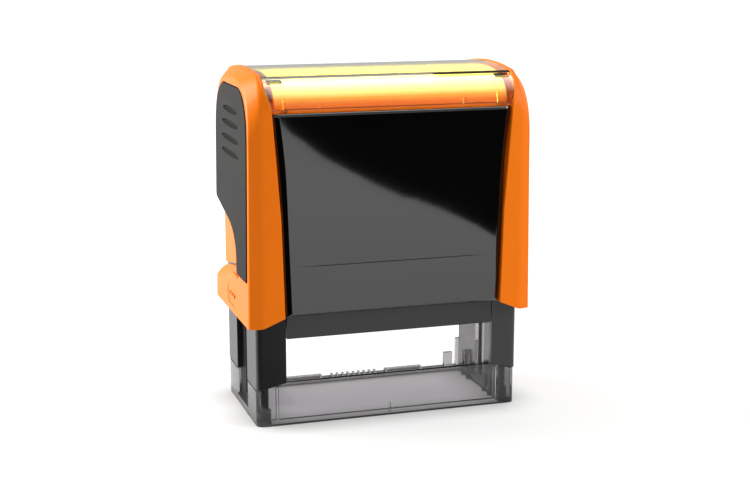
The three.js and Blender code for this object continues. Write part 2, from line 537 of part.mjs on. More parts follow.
// ---- Assembly ----------------------------------------------------------------------------------
const stamp = new THREE.Group();
const frame = new THREE.Group();
const cap = new THREE.Group();
const plate = new THREE.Group();
stamp.add(frame, cap);
cap.add(plate);
const piece = (group, name, made, finish) => {
  const mesh = new THREE.Mesh(made.isBufferGeometry ? made : geometryOf(made), finish);
  mesh.name = name;
  group.add(mesh);
};
const pair = (group, name, right, finish) => {
  piece(group, `right_${name}`, right, finish);
  piece(group, `left_${name}`, mirrorX(right), finish);
};

piece(frame, "clear_base", clearBase(), smokeClear);
pair(frame, "end_frame", rightEndFrame(), frameBlack);
piece(frame, "front_crossbar", frontCrossbar(), frameBlack);
piece(frame, "rear_crossbar", rearCrossbar(), frameBlack);
piece(frame, "pad_deck", padDeck(), frameBlack);
piece(frame, "ink_cartridge", inkCartridge(), frameBlack);
piece(frame, "cartridge_lid", cartridgeLid(), frameBlack);
piece(frame, "ink_pad", inkPad(), inkBlack);
piece(frame, "return_spring", coilSpring(), steel);
piece(frame, "spring_post", springPost(), frameBlack);

piece(cap, "cap_core", capCore(), orange);
pair(cap, "cheek", rightCheek(), orange);
pair(cap, "grip", rightGrip(), softGrey);
piece(cap, "front_panel", frontPanel(), glossBlack);
piece(cap, "rear_panel", rearPanel(), glossBlack);
piece(cap, "rear_bar", rearBar(), orange);
piece(cap, "spring_cup", springCup(), frameBlack);
piece(cap, "index_card", indexCard(), whiteCard);
piece(cap, "index_window", indexWindow(), amberClear);
pair(cap, "axle_arm", axleArm(), frameBlack);
pair(cap, "lock_button", lockButton(), orange);

piece(plate, "plate_carrier", plateCarrier(), frameBlack);
pair(plate, "axle_pin", axlePin(), steel);
pair(plate, "flip_cam", flipCam(), frameBlack);
piece(plate, "foam_cushion", foamCushion(), foam);
piece(plate, "rubber_die", rubberDie(), rubber);

export default stamp;
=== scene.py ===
"""Looks of a self-inking stamp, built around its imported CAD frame.

Shape numbers in this file are millimetres; new_mesh() turns them into Blender's metres.
X runs left to right, Y front to back and Z up, with the origin on the table under the stamp.
"""

import math

import bmesh
import bpy
from mathutils import Matrix, Vector


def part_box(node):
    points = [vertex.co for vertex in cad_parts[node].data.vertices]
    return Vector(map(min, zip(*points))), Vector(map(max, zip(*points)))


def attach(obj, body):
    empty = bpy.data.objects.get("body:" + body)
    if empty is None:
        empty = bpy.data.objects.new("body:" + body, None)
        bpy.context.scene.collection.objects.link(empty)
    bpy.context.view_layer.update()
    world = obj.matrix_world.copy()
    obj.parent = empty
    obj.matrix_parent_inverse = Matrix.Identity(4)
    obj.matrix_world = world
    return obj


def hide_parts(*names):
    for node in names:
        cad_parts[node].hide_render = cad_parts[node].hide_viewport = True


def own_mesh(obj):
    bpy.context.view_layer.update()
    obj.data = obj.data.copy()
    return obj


bl_info = {
    "name": "Self-inking stamp",
    "version": (1, 0, 0),
    "blender": (4, 5, 0),
    "location": "View3D > Sidebar > Stamp",
    "description": "Builds the visible pieces of a self-inking stamp around its CAD frame",
    "category": "Object",
}

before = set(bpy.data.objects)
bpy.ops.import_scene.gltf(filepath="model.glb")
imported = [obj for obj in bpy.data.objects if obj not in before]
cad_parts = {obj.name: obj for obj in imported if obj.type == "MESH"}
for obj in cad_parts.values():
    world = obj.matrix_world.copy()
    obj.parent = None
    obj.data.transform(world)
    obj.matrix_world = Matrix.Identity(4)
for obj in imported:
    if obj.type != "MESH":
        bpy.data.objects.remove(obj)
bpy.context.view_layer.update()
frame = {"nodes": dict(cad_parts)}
MM = 0.001
FAR = 60.0  # well outside the stamp, for cutters


def box_mm(node):
    """Lowest and highest corner of a CAD node in millimetres."""
    low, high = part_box(node)
    return low / MM, high / MM


# ---- Curves and outlines ---------------------------------------------------------------------


def bezier(a, b, c, d, steps):
    """Points on a cubic curve, its first point left out."""
    made = []
    for k in range(1, steps + 1):
        t = k / steps
        w = ((1 - t) ** 3, 3 * t * (1 - t) ** 2, 3 * t * t * (1 - t), t**3)
        made.append(tuple(sum(f * p[i] for f, p in zip(w, (a, b, c, d))) for i in range(len(a))))
    return made


def filleted(points, radius, steps=4, groove_occlusion=False):
    """The polyline with each corner rounded. radius is one number or one for each point."""
    points = [Vector(p) for p in points]
    radii = radius if isinstance(radius, (list, tuple)) else [radius] * len(points)
    made = []
    for i, p in enumerate(points):
        inside = groove_occlusion or 0 < i < len(points) - 1
        if not inside or radii[i] == 0:
            made.append(p)
            continue
        before = points[i - 1] - p
        after = points[(i + 1) % len(points)] - p
        reach = min(radii[i], 0.49 * before.length, 0.49 * after.length)
        a = p + before.normalized() * reach
        b = p + after.normalized() * reach
        for k in range(steps + 1):
            t = k / steps
            made.append(a * (1 - t) ** 2 + p * 2 * t * (1 - t) + b * t * t)
    return made


def stadium(half_length, half_height, y, z, steps=10):
    """A slot outline with round ends, long in its first direction."""
    made = []
    for side in (1, -1):
        for k in range(steps + 1):
            a = math.pi * (k / steps - 0.5) + (0 if side > 0 else math.pi)
            end = y + side * (half_length - half_height)
            made.append((end + half_height * math.cos(a), z + half_height * math.sin(a)))
    return made


# ---- Meshes ----------------------------------------------------------------------------------


def new_mesh(name, points, faces):
    """An object whose mesh has these points, given in millimetres, with its faces turned outward."""
    mesh = bpy.data.meshes.new(name)
    mesh.from_pydata([tuple(Vector(p) * MM) for p in points], [], faces)
    made = bmesh.new()
    made.from_mesh(mesh)
    bmesh.ops.remove_doubles(made, verts=made.verts, dist=1e-7)
    bmesh.ops.recalc_face_normals(made, faces=made.faces)
    made.to_mesh(mesh)
    made.free()
    piece = bpy.data.objects.new(name, mesh)
    bpy.context.scene.collection.objects.link(piece)
    return piece


def loft(name, rings, folded=False):
    """A solid through rings that match point to point. folded fills the ends with strips across them."""
    count = len(rings[0])
    faces = []
    for k in range(len(rings) - 1):
        for i in range(count):
            a, b = k * count + i, k * count + (i + 1) % count
            faces.append((a, b, b + count, a + count))
    for start in (0, (len(rings) - 1) * count):
        if folded:
            pairs = [(start + i, start + count - 1 - i) for i in range(count // 2)]
            faces += [(a, c, d, b) for (a, b), (c, d) in zip(pairs, pairs[1:])]
            if count % 2:
                faces.append((pairs[-1][0], start + count // 2, pairs[-1][1]))
        else:
            faces.append(tuple(range(start, start + count)))
    return new_mesh(name, [p for ring in rings for p in ring], faces)


def prism(name, axis, outline, low, high):
    """An outline swept along one axis. low and high are numbers, or functions of the outline's point."""
    place = {
        "X": lambda u, v, w: (w, u, v),
        "Y": lambda u, v, w: (u, w, v),
        "Z": lambda u, v, w: (u, v, w),
    }[axis]
    at = [end if callable(end) else (lambda u, v, end=end: end) for end in (low, high)]
    return loft(name, [[place(p[0], p[1], end(p[0], p[1])) for p in outline] for end in at])


def block(name, x0, x1, y0, y1, z0, z1):
    return prism(name, "Z", [(x0, y0), (x1, y0), (x1, y1), (x0, y1)], z0, z1)


def settle(piece):
    """Applies the piece's modifiers to its mesh."""
    graph = bpy.context.evaluated_depsgraph_get()
    made = bpy.data.meshes.new_from_object(piece.evaluated_get(graph))
    old = piece.data
    piece.modifiers.clear()
    piece.data = made
    bpy.data.meshes.remove(old)
    return piece


def combine(piece, tools, operation):
    """Cuts the tools from the piece, or joins them to it, and deletes them."""
    for tool in tools:
        step = piece.modifiers.new(tool.name, "BOOLEAN")
        step.operation = operation
        step.solver = "EXACT"
        step.object = tool
    settle(piece)
    for tool in tools:
        bpy.data.objects.remove(tool)
    return piece


def cut(piece, *tools):
    return combine(piece, tools, "DIFFERENCE")


def join(piece, *tools):
    return combine(piece, tools, "UNION")


def soften(piece, width, segments=3, angle=32):
    """Rounds the edges that turn by more than angle and shades the rest smooth."""
    flat = piece.modifiers.new("Clean faces", "DECIMATE")
    flat.decimate_type = "DISSOLVE"
    flat.angle_limit = math.radians(0.4)
    edge = piece.modifiers.new("Soft edges", "BEVEL")
    edge.width = width * MM
    edge.segments = segments
    edge.limit_method = "ANGLE"
    edge.angle_limit = math.radians(angle)
    edge.use_clamp_overlap = True
    edge.miter_outer = "MITER_ARC"
    return even_shading(piece)


def even_shading(piece):
    """Shades the piece smooth while its large flat faces stay flat."""
    piece.data.shade_smooth()
    smooth = piece.modifiers.new("Even shading", "WEIGHTED_NORMAL")
    smooth.keep_sharp = True
    return piece


def mirrored(piece, name):
    """A copy on the other side of the stamp."""
    made = bmesh.new()
    made.from_mesh(piece.data)
    bmesh.ops.transform(made, matrix=Matrix.Scale(-1, 4, Vector((1, 0, 0))), verts=made.verts)
    bmesh.ops.reverse_faces(made, faces=made.faces)
    mesh = bpy.data.meshes.new(name)
    made.to_mesh(mesh)
    made.free()
    copy = bpy.data.objects.new(name, mesh)
    bpy.context.scene.collection.objects.link(copy)
    for source in piece.modifiers:
        step = copy.modifiers.new(source.name, source.type)
        for key in [p.identifier for p in source.bl_rna.properties if not p.is_readonly]:
            setattr(step, key, getattr(source, key))
    return copy


def finish_piece(piece, body, slot, material, *nodes):
    """Gives a new piece its body, its material and the CAD nodes that it stands for. The slot is not used."""
    piece.data.materials.clear()
    piece.data.materials.append(material)
    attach(piece, body)
    if nodes:
        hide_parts(*nodes)
    return piece


def dress_node(name, material, width=0.2, segments=3):
    """Keeps a CAD node, rounds its edges and gives it a material."""
    node = frame["nodes"][name]
    if node.data.materials:
        node.data.materials[0] = material
    else:
        node.data.materials.append(material)
    soften(node, width, segments)


# ---- The cap's shape -------------------------------------------------------------------------

CHEEK_LOW, CHEEK_HIGH = box_mm("right_cheek")
CAP_DEPTH = -CHEEK_LOW.y
CAP_BOTTOM = CHEEK_LOW.z
SHOULDER = 80.5  # where the flat front starts to curve
SIDE_SHOULDER = 74.0  # the same for the flat sides
SIDE_DEPTH = 19.9
SIDE_TOP_X = 37.6
FLAT_TO = 35.3
FACE_FALL = 0.028  # how far the cheek's face falls back from seam to corner, as a part of its depth
SEAM = ((29.2, 20), (29.2, 30), (29.8, 50), (30.3, 65), (31.2, 76), (32, 82), (33.3, 88), (33.4, 100))


def cap_arch(inset=0.0, steps=20):
    """The cap's outline in (Y, Z) from front shoulder over the crown to the rear shoulder."""
    front = (-(CAP_DEPTH - inset), SHOULDER)
    crease = (-(16 - 0.6 * inset), 90.4 - 0.95 * inset)
    pull = (front[0], 85.6 - 0.3 * inset)
    lean = (-(19.6 - 0.75 * inset), 88.4 - 0.8 * inset)
    side = [front] + bezier(front, pull, lean, crease, steps)
    return arch_over(side, crease, 1.3, steps)


def side_arch(grow=0.0, steps=20):
    """The outline of the cap's flat side, a little smaller than the cap's own."""
    front = (-(SIDE_DEPTH + grow), SIDE_SHOULDER)
    crease = (-(9.0 + 0.4 * grow), 88.6 + grow)
    pull = (front[0], 82 + 0.2 * grow)
    lean = (-(16.5 + 0.7 * grow), 87.2 + 0.7 * grow)
    side = [front] + bezier(front, pull, lean, crease, steps)
    return arch_over(side, crease, 0.5, steps)


def arch_over(side, crease, rise, steps):
    crown = []
    for k in range(1, steps):
        y = crease[0] * (1 - 2 * k / steps)
        crown.append((y, crease[1] + rise * (1 - (y / crease[0]) ** 2)))
    back = [(-y, z) for y, z in reversed(side)]
    return side + crown + back


def side_x(z):
    """The flat side leans in towards the top."""
    return CHEEK_HIGH.x - (CHEEK_HIGH.x - SIDE_TOP_X) * (z - CAP_BOTTOM) / (78 - CAP_BOTTOM)


def seam_x(z):
    """Half-width of the seam between the cheeks and the panels."""
    for (x0, z0), (x1, z1) in zip(SEAM, SEAM[1:]):
        if z <= z1:
            t = (z - z0) / (z1 - z0)
            t = t * t * (3 - 2 * t) * 0.35 + t * 0.65
            return x0 + (x1 - x0) * t
    return SEAM[-1][0]


def underside(x):
    """The cheek's lower edge rises towards the seam."""
    t = min(1.0, max(0.0, (FLAT_TO - x) / (FLAT_TO - SEAM[0][0])))
    return CAP_BOTTOM + 2.7 * t


def notch_outline():
    """Where the flat side steps in, in (Y, Z): open to the rear, above the foot."""
    top = [(3.0, 51.2)] + bezier((3.0, 51.2), (-3.5, 49.6), (-6.5, 46.5), (-6.5, 41.0), 12)
    ledge = bezier((12.0, 36.8), (16.0, 36.6), (18.5, 35.6), (20.0, 33.4), 10)
    return [(FAR, 64.6), (20.0, 55.2)] + top + [(-6.5, 37.3), (12.0, 36.8)] + ledge + [(FAR, 33.4)]


def grip_outline(grow=0.0):
    front, top = 18.6 + grow, 87.0 + grow
    tail = bezier(
        (3.0, 51.4 - grow),
        (-3.4 + 0.4 * grow, 49.8 - grow),
        (-6.7 + grow, 46.5 - 0.5 * grow),
        (-6.7 + grow, 41.0),
        12,
    )
    low = 38.6 - grow
    toe = filleted([(-6.7 + grow, 41.0), (-6.7 + grow, low), (-front, low), (-front, 74.0)], [0, 1.2, 1.2, 0])
    front_top = bezier((-front, 74.0), (-front, 81.3), (-15.3 - grow, 85.9 + grow), (-9.0, top), 14)
    rear_top = bezier((9.0, top), (15.3 + grow, 85.9 + grow), (front, 81.3), (front, 74.0), 14)
    rear = filleted([(front, 74.0), (front, 55.1 - grow), (3.0, 51.4 - grow)], [0, 1.5, 0])
    points = tail + [tuple(p) for p in toe[1:]] + front_top + [(9.0, top)] + rear_top
    return points + [tuple(p) for p in rear[1:]]


# ---- Shared effects --------------------------------------------------------------------------


def fill(node, values):
    """Sets a node's inputs by their names."""
    for label, value in values.items():
        node.inputs[label].default_value = value


def map_range(tree, span, results, smooth=False):
    """A node that carries values from one range to another."""
    node = tree.nodes.new("ShaderNodeMapRange")
    if smooth:
        node.interpolation_type = "SMOOTHSTEP"
    fill(node, dict(zip(("From Min", "From Max", "To Min", "To Max"), (*span, *results))))
    return node


def effect_group(name, inputs, outputs):
    """An empty shader node group with its named sockets."""
    group = bpy.data.node_groups.new(name, "ShaderNodeTree")
    for label, kind, default in inputs:
        socket = group.interface.new_socket(label, in_out="INPUT", socket_type=kind)
        socket.default_value = default
    for label, kind in outputs:
        group.interface.new_socket(label, in_out="OUTPUT", socket_type=kind)
    start = group.nodes.new("NodeGroupInput")
    end = group.nodes.new("NodeGroupOutput")
    return group, start, end


def moulded_grain():
    """Fine surface texture of moulded plastic: a height for bump and a roughness that varies a little."""
    if "Moulded grain" in bpy.data.node_groups:
        return bpy.data.node_groups["Moulded grain"]
    group, start, end = effect_group(
        "Moulded grain",
        [
            ("Scale", "NodeSocketFloat", 2500.0),
            ("Roughness", "NodeSocketFloat", 0.3),
            ("Variation", "NodeSocketFloat", 0.1),
        ],
        [("Height", "NodeSocketFloat"), ("Roughness", "NodeSocketFloat")],
    )
    place = group.nodes.new("ShaderNodeTexCoord")
    fine = group.nodes.new("ShaderNodeTexNoise")
    fine.inputs["Detail"].default_value = 3.0
    broad = group.nodes.new("ShaderNodeTexNoise")
    broad.inputs["Scale"].default_value = 60.0
    centred = group.nodes.new("ShaderNodeMath")
    centred.operation = "SUBTRACT"
    centred.inputs[1].default_value = 0.5
    spread = group.nodes.new("ShaderNodeMath")
    spread.operation = "MULTIPLY_ADD"
    link = group.links.new
    link(place.outputs["Object"], fine.inputs["Vector"])
    link(place.outputs["Object"], broad.inputs["Vector"])
    link(start.outputs["Scale"], fine.inputs["Scale"])
    link(broad.outputs["Fac"], centred.inputs[0])
    link(centred.outputs[0], spread.inputs[0])
    link(start.outputs["Variation"], spread.inputs[1])
    link(start.outputs["Roughness"], spread.inputs[2])
    link(fine.outputs["Fac"], end.inputs["Height"])
    link(spread.outputs[0], end.inputs["Roughness"])
    return group


def handled_colour():
    """A base colour with slight mottling and paler worn edges."""
    if "Handled colour" in bpy.data.node_groups:
        return bpy.data.node_groups["Handled colour"]
    group, start, end = effect_group(
        "Handled colour",
        [
            ("Colour", "NodeSocketColor", (0.5, 0.5, 0.5, 1)),
            ("Worn colour", "NodeSocketColor", (0.8, 0.8, 0.8, 1)),
            ("Wear", "NodeSocketFloat", 0.2),
            ("Mottle", "NodeSocketFloat", 0.05),
        ],
        [("Colour", "NodeSocketColor")],
    )
    place = group.nodes.new("ShaderNodeTexCoord")
    patches = group.nodes.new("ShaderNodeTexNoise")
    fill(patches, {"Scale": 90.0, "Detail": 4.0})
    shade = map_range(group, (0, 1), (-1, 1))
    amount = group.nodes.new("ShaderNodeMath")
    amount.operation = "MULTIPLY_ADD"
    amount.inputs[2].default_value = 1.0
    tinted = group.nodes.new("ShaderNodeVectorMath")
    tinted.operation = "SCALE"
    geometry = group.nodes.new("ShaderNodeNewGeometry")
    edges = map_range(group, (0.53, 0.62), (0, 1))
    weight = group.nodes.new("ShaderNodeMath")
    weight.operation = "MULTIPLY"
    mix = group.nodes.new("ShaderNodeMix")
    mix.data_type = "RGBA"
    link = group.links.new
    link(place.outputs["Object"], patches.inputs["Vector"])
    link(patches.outputs["Fac"], shade.inputs["Value"])
    link(shade.outputs["Result"], amount.inputs[0])
    link(start.outputs["Mottle"], amount.inputs[1])
    link(start.outputs["Colour"], tinted.inputs[0])
    link(amount.outputs[0], tinted.inputs["Scale"])
    link(geometry.outputs["Pointiness"], edges.inputs["Value"])
    link(edges.outputs["Result"], weight.inputs[0])
    link(start.outputs["Wear"], weight.inputs[1])
    link(weight.outputs[0], mix.inputs["Factor"])
    link(tinted.outputs[0], mix.inputs[6])
    link(start.outputs["Worn colour"], mix.inputs[7])
    link(mix.outputs[2], end.inputs["Colour"])
    return group


# ---- Materials -------------------------------------------------------------------------------

GROOVE_SHADE_REACH = 0.0022  # metres, how far the painted groove shade reaches
CARD_REFLECTION_SPAN = (0.05, 0.72)  # where the card's painted orange reflection ends, as parts of its height
WORN_ORANGE = 1.12  # how much brighter the orange is where it is worn
DULL = 0.09  # the faint sheen of the orange plastic


def shader(name):
    """A new material and its main shader."""
    material = bpy.data.materials.new(name)
    material.use_nodes = True
    return material, material.node_tree.nodes["Principled BSDF"]


def surface(name, colour, worn, roughness, grain_scale, bump, variation=0.06, wear=0.25, mottle=0.04):
    """A solid finish with handled colour and moulded grain."""
    material, main = shader(name)
    tree = material.node_tree
    tint = tree.nodes.new("ShaderNodeGroup")
    tint.node_tree = handled_colour()
    fill(tint, {"Colour": (*colour, 1), "Worn colour": (*worn, 1), "Wear": wear, "Mottle": mottle})
    grain = tree.nodes.new("ShaderNodeGroup")
    grain.node_tree = moulded_grain()
    fill(grain, {"Scale": grain_scale, "Roughness": roughness, "Variation": variation})
    raised = tree.nodes.new("ShaderNodeBump")
    fill(raised, {"Strength": bump, "Distance": 0.00005})
    tree.links.new(tint.outputs["Colour"], main.inputs["Base Color"])
    tree.links.new(grain.outputs["Roughness"], main.inputs["Roughness"])
    tree.links.new(grain.outputs["Height"], raised.inputs["Height"])
    tree.links.new(raised.outputs["Normal"], main.inputs["Normal"])
    return material, main


def richer(colour, factor):
    """A brighter version of a colour that stays as saturated."""
    return [min(1.0, c * factor) for c in colour]


def lighter(colour, amount):
    return tuple(c + (1 - c) * amount for c in colour)


def paint_groove_shade(material, main, reach):
    """Paints shade into the colour where the surface is closed in, as in a groove."""
    tree = material.node_tree
    colour = main.inputs["Base Color"].links[0].from_socket
    groove_occlusion = tree.nodes.new("ShaderNodeAmbientOcclusion")
    groove_occlusion.inputs["Distance"].default_value = reach
    amount = map_range(tree, (0.7, 0.96), (0.02, 1))
    with_painted_shade = tree.nodes.new("ShaderNodeVectorMath")
    with_painted_shade.operation = "SCALE"
    tree.links.new(groove_occlusion.outputs["AO"], amount.inputs["Value"])
    tree.links.new(colour, with_painted_shade.inputs[0])
    tree.links.new(amount.outputs["Result"], with_painted_shade.inputs["Scale"])
    tree.links.new(with_painted_shade.outputs[0], main.inputs["Base Color"])


def dull_plastic(name, colour, roughness):
    """A coloured plastic with little sheen."""
    worn = richer(colour, WORN_ORANGE)
    material, main = surface(name, colour, worn, roughness, 1800, 0.1)
    main.inputs["Specular IOR Level"].default_value = DULL
    return material


def orange_plastic(colours):
    return dull_plastic("Orange plastic", colours.orange, 0.34)


# The cap's own orange plastic, painted darker as shade because the core sits behind the window.
def core_plastic(colours):
    return dull_plastic("Core plastic", colours.core, 0.4)


def gloss_panel(colours):
    worn = (0.03, 0.03, 0.03)
    material, main = surface("Gloss black panel", colours.panel, worn, 0.045, 600, 0.01, 0.03, 0.1)
    main.inputs["IOR"].default_value = 1.78
    return material


def satin_black(colours):
    material, main = surface("Satin black plastic", colours.frame, (0.03, 0.03, 0.032), 0.3, 2600, 0.16)
    main.inputs["IOR"].default_value = 1.5
    return material


def soft_grey(colours):
    material, main = surface("Soft grey grip", colours.grip, (0.05, 0.05, 0.052), 0.75, 3800, 0.4, 0.08)
    main.inputs["Specular IOR Level"].default_value = 0.08
    # Painted shade: the grip's colour darkens inside its grooves, where ambient occlusion finds the surface
    # closed in.
    paint_groove_shade(material, main, GROOVE_SHADE_REACH)
    return material


def tinted_clear(name, colour, roughness, grain_scale, bump):
    """A clear plastic whose tint varies a little, and which lets the lamps light what is behind it."""
    worn = lighter(colour, 0.3)
    material, main = surface(name, colour, worn, roughness, grain_scale, bump, 0.02, 0.0, 0.03)
    fill(main, {"Transmission Weight": 1.0, "IOR": 1.45})
    tree = material.node_tree
    passing = tree.nodes.new("ShaderNodeBsdfTransparent")
    passing.inputs["Color"].default_value = (*[math.sqrt(c) for c in colour], 1)
    path = tree.nodes.new("ShaderNodeLightPath")
    choice = tree.nodes.new("ShaderNodeMixShader")
    tree.links.new(path.outputs["Is Shadow Ray"], choice.inputs[0])
    tree.links.new(main.outputs[0], choice.inputs[1])
    tree.links.new(passing.outputs[0], choice.inputs[2])
    tree.links.new(choice.outputs[0], tree.nodes["Material Output"].inputs["Surface"])
    return material


def smoke_clear(colours):
    return tinted_clear("Smoke clear plastic", colours.smoke, 0.08, 400, 0.02)


def amber_clear(colours):
    return tinted_clear("Amber clear plastic", colours.amber, 0.02, 300, 0.01)


def spring_steel(colours):
    material, main = surface("Spring steel", colours.steel, (0.9, 0.9, 0.9), 0.22, 5200, 0.3, 0.1, 0.4)
    main.inputs["Metallic"].default_value = 1.0
    return material


def index_paper(colours):
    """A card: plain over the top, fading to orange towards its front and rear edges, a painted reflection of
    the orange core.
    """
    material, main = surface("Index card", colours.card, (0.9, 0.88, 0.82), 0.7, 6200, 0.6, 0.1, 0.1, 0.03)
    tree = material.node_tree
    paper = main.inputs["Base Color"].links[0].from_socket
    place = tree.nodes.new("ShaderNodeTexCoord")
    parts = tree.nodes.new("ShaderNodeSeparateXYZ")
    height = map_range(tree, CARD_REFLECTION_SPAN, (0, 1), smooth=True)
    reflection_mix = tree.nodes.new("ShaderNodeMix")
    reflection_mix.data_type = "RGBA"
    reflection_mix.inputs[6].default_value = (*colours.card_print, 1)
    tree.links.new(place.outputs["Generated"], parts.inputs[0])
    tree.links.new(parts.outputs["Z"], height.inputs["Value"])
    tree.links.new(height.outputs["Result"], reflection_mix.inputs["Factor"])
    tree.links.new(paper, reflection_mix.inputs[7])
    tree.links.new(reflection_mix.outputs[2], main.inputs["Base Color"])
    return material


def ink_felt(colours):
    return surface("Inked felt", colours.ink, (0.03, 0.03, 0.05), 0.5, 2400, 1.0, 0.3, 0.2, 0.4)[0]


def die_rubber(colours):
    return surface("Die rubber", colours.rubber, (0.55, 0.32, 0.27), 0.6, 3000, 0.5, 0.15, 0.3, 0.12)[0]


def cell_foam(colours):
    return surface("Cell foam", colours.foam, (0.7, 0.7, 0.72), 0.9, 4200, 1.0, 0.1, 0.1, 0.15)[0]


_materials = {}


def finish(maker):
    """The material that this function makes, made once."""
    if maker.__name__ not in _materials:
        _materials[maker.__name__] = maker(bpy.context.scene.stamp_colours)
    return _materials[maker.__name__]


# ---- Settings --------------------------------------------------------------------------------


def colour_setting(label, description, value):
    return bpy.props.FloatVectorProperty(
        name=label, description=description, subtype="COLOR", size=3, min=0, max=1, default=value
    )


def length_setting(label, description, value_mm):
    return bpy.props.FloatProperty(
        name=label,
        description=description,
        unit="LENGTH",
        subtype="DISTANCE",
        default=value_mm * MM,
        precision=5,
    )


class StampColours(bpy.types.PropertyGroup):
    orange: colour_setting("Cap", "Colour of the cheeks and buttons", (0.69, 0.142, 0.001))
    # The core's colour is the orange plastic painted darker, as shade behind the window.
    core: colour_setting("Core", "Colour of the cap's core behind the window", (0.6, 0.13, 0.002))
    panel: colour_setting("Panels", "Colour of the glossy front and rear panels", (0.0012, 0.0012, 0.0014))
    frame: colour_setting("Frame", "Colour of the inner frame and the text plate", (0.005, 0.005, 0.0055))
    grip: colour_setting("Grips", "Colour of the soft side grips", (0.019, 0.019, 0.0198))
    smoke: colour_setting("Base", "Tint of the clear base", (0.42, 0.41, 0.425))
    amber: colour_setting("Window", "Tint of the index window", (1.0, 0.90, 0.40))
    steel: colour_setting("Steel", "Colour of the spring and the axle pins", (0.60, 0.61, 0.63))
    # The orange that the card fades to near its edges is a painted reflection of the orange core.
    card_print: colour_setting("Card painted reflection", "Colour that the index card fades to", (0.62, 0.10, 0.012))
    card: colour_setting("Card", "Colour of the index card", (0.86, 0.84, 0.78))
    ink: colour_setting("Ink pad", "Colour of the soaked felt", (0.006, 0.006, 0.010))
    rubber: colour_setting("Die", "Colour of the rubber die", (0.24, 0.075, 0.055))
    foam: colour_setting("Foam", "Colour of the cushion under the die", (0.32, 0.34, 0.37))


class StampSizes(bpy.types.PropertyGroup):
    cheek_edge: length_setting("Cheek edge", "Rounding of the cheeks' cut edges", 0.25)
    corner_edge: length_setting("Corner edge", "Rounding of the cap's upright corners", 0.7)
    panel_chamfer: length_setting("Panel chamfer", "Width of the sloping rim round each panel", 1.5)
    panel_drop: length_setting("Panel drop", "How far that rim slopes back", 0.8)
    frame_edge: length_setting("Frame edge", "Rounding of the frame's edges", 0.3)
    base_edge: length_setting("Base edge", "Rounding of the clear base's edges", 0.22)
    grip_edge: length_setting("Grip edge", "Rounding of the grips' rims", 0.5)
    groove: length_setting("Grip groove", "Half-height of the grip grooves", 0.8)


def size(name):
    """One of the size settings in millimetres."""
    return getattr(bpy.context.scene.stamp_sizes, name) / MM


# ---- Stage -----------------------------------------------------------------------------------

CAMERA_PLACE = Vector((-0.1139, -0.3639, 0.1234))
CAMERA_YAW = math.radians(17.59)
CAMERA_PITCH = math.radians(11.78)
CAMERA_LENS = 69.07
WORLD_STRENGTH = (0.5, 1.0)  # as light, and as the camera sees it
FLOOR_HALF = 8000
FLOOR_GLOW_REACH = (0.10, 0.40)  # metres from the stamp, between which the floor's painted glow brightens, standing in for lamp light far from the stamp
FLOOR_GLOW = (0.72, 0.95)
# Where the painted dark reflection ends on the front panel, as (X, Z) in metres
PAINTED_REFLECTION_EDGE = ((-0.031, 0.082), (-0.0275, 0.077), (-0.019, 0.070), (-0.0045, 0.062), (0.0285, 0.0465))
WARM = (1.0, 0.97, 0.92)
WARMER = (1.0, 0.97, 0.90)


def soft_light(name, place, aim, width, height, power, tint=(1, 1, 1)):
    lamp = bpy.data.lights.new(name, "AREA")
    lamp.shape = "RECTANGLE"
    lamp.size = width
    lamp.size_y = height
    lamp.energy = power
    lamp.color = tint
    made = bpy.data.objects.new(name, lamp)
    made.location = place
    made.rotation_euler = (Vector(aim) - Vector(place)).to_track_quat("-Z", "Y").to_euler()
    bpy.context.scene.collection.objects.link(made)
    return made


def floor_mirror_point(x, z, face_y):
    """Where the floor is, as the camera sees it mirrored in the front panel at (x, z)."""
    seen = Vector((x, face_y, z))
    ray = seen - CAMERA_PLACE
    ray.y = -ray.y
    return seen + ray * (-seen.z / ray.z)


def paint_as_reflection(card):
    """Leaves a card in the stage where only reflections show it, so that it is a painted reflection in glossy
    faces.
    """
    card.visible_camera = False
    card.visible_diffuse = False
    card.visible_shadow = False
    card.visible_transmission = False


def painted_highlight_material(name, low, high, direction, span):
    """A glowing material for a painted highlight card, whose strength rises along a direction from low to
    high.
    """
    material, main = shader(name)
    tree = material.node_tree
    place = tree.nodes.new("ShaderNodeNewGeometry")
    along = tree.nodes.new("ShaderNodeVectorMath")
    along.operation = "DOT_PRODUCT"
    along.inputs[1].default_value = direction
    strength = map_range(tree, span, (low, high))
    fill(main, {"Base Color": (0, 0, 0, 1), "Specular IOR Level": 0.0, "Emission Color": (1, 1, 1, 1)})
    tree.links.new(place.outputs["Position"], along.inputs[0])
    tree.links.new(along.outputs["Value"], strength.inputs["Value"])
    tree.links.new(strength.outputs["Result"], main.inputs["Emission Strength"])
    return material


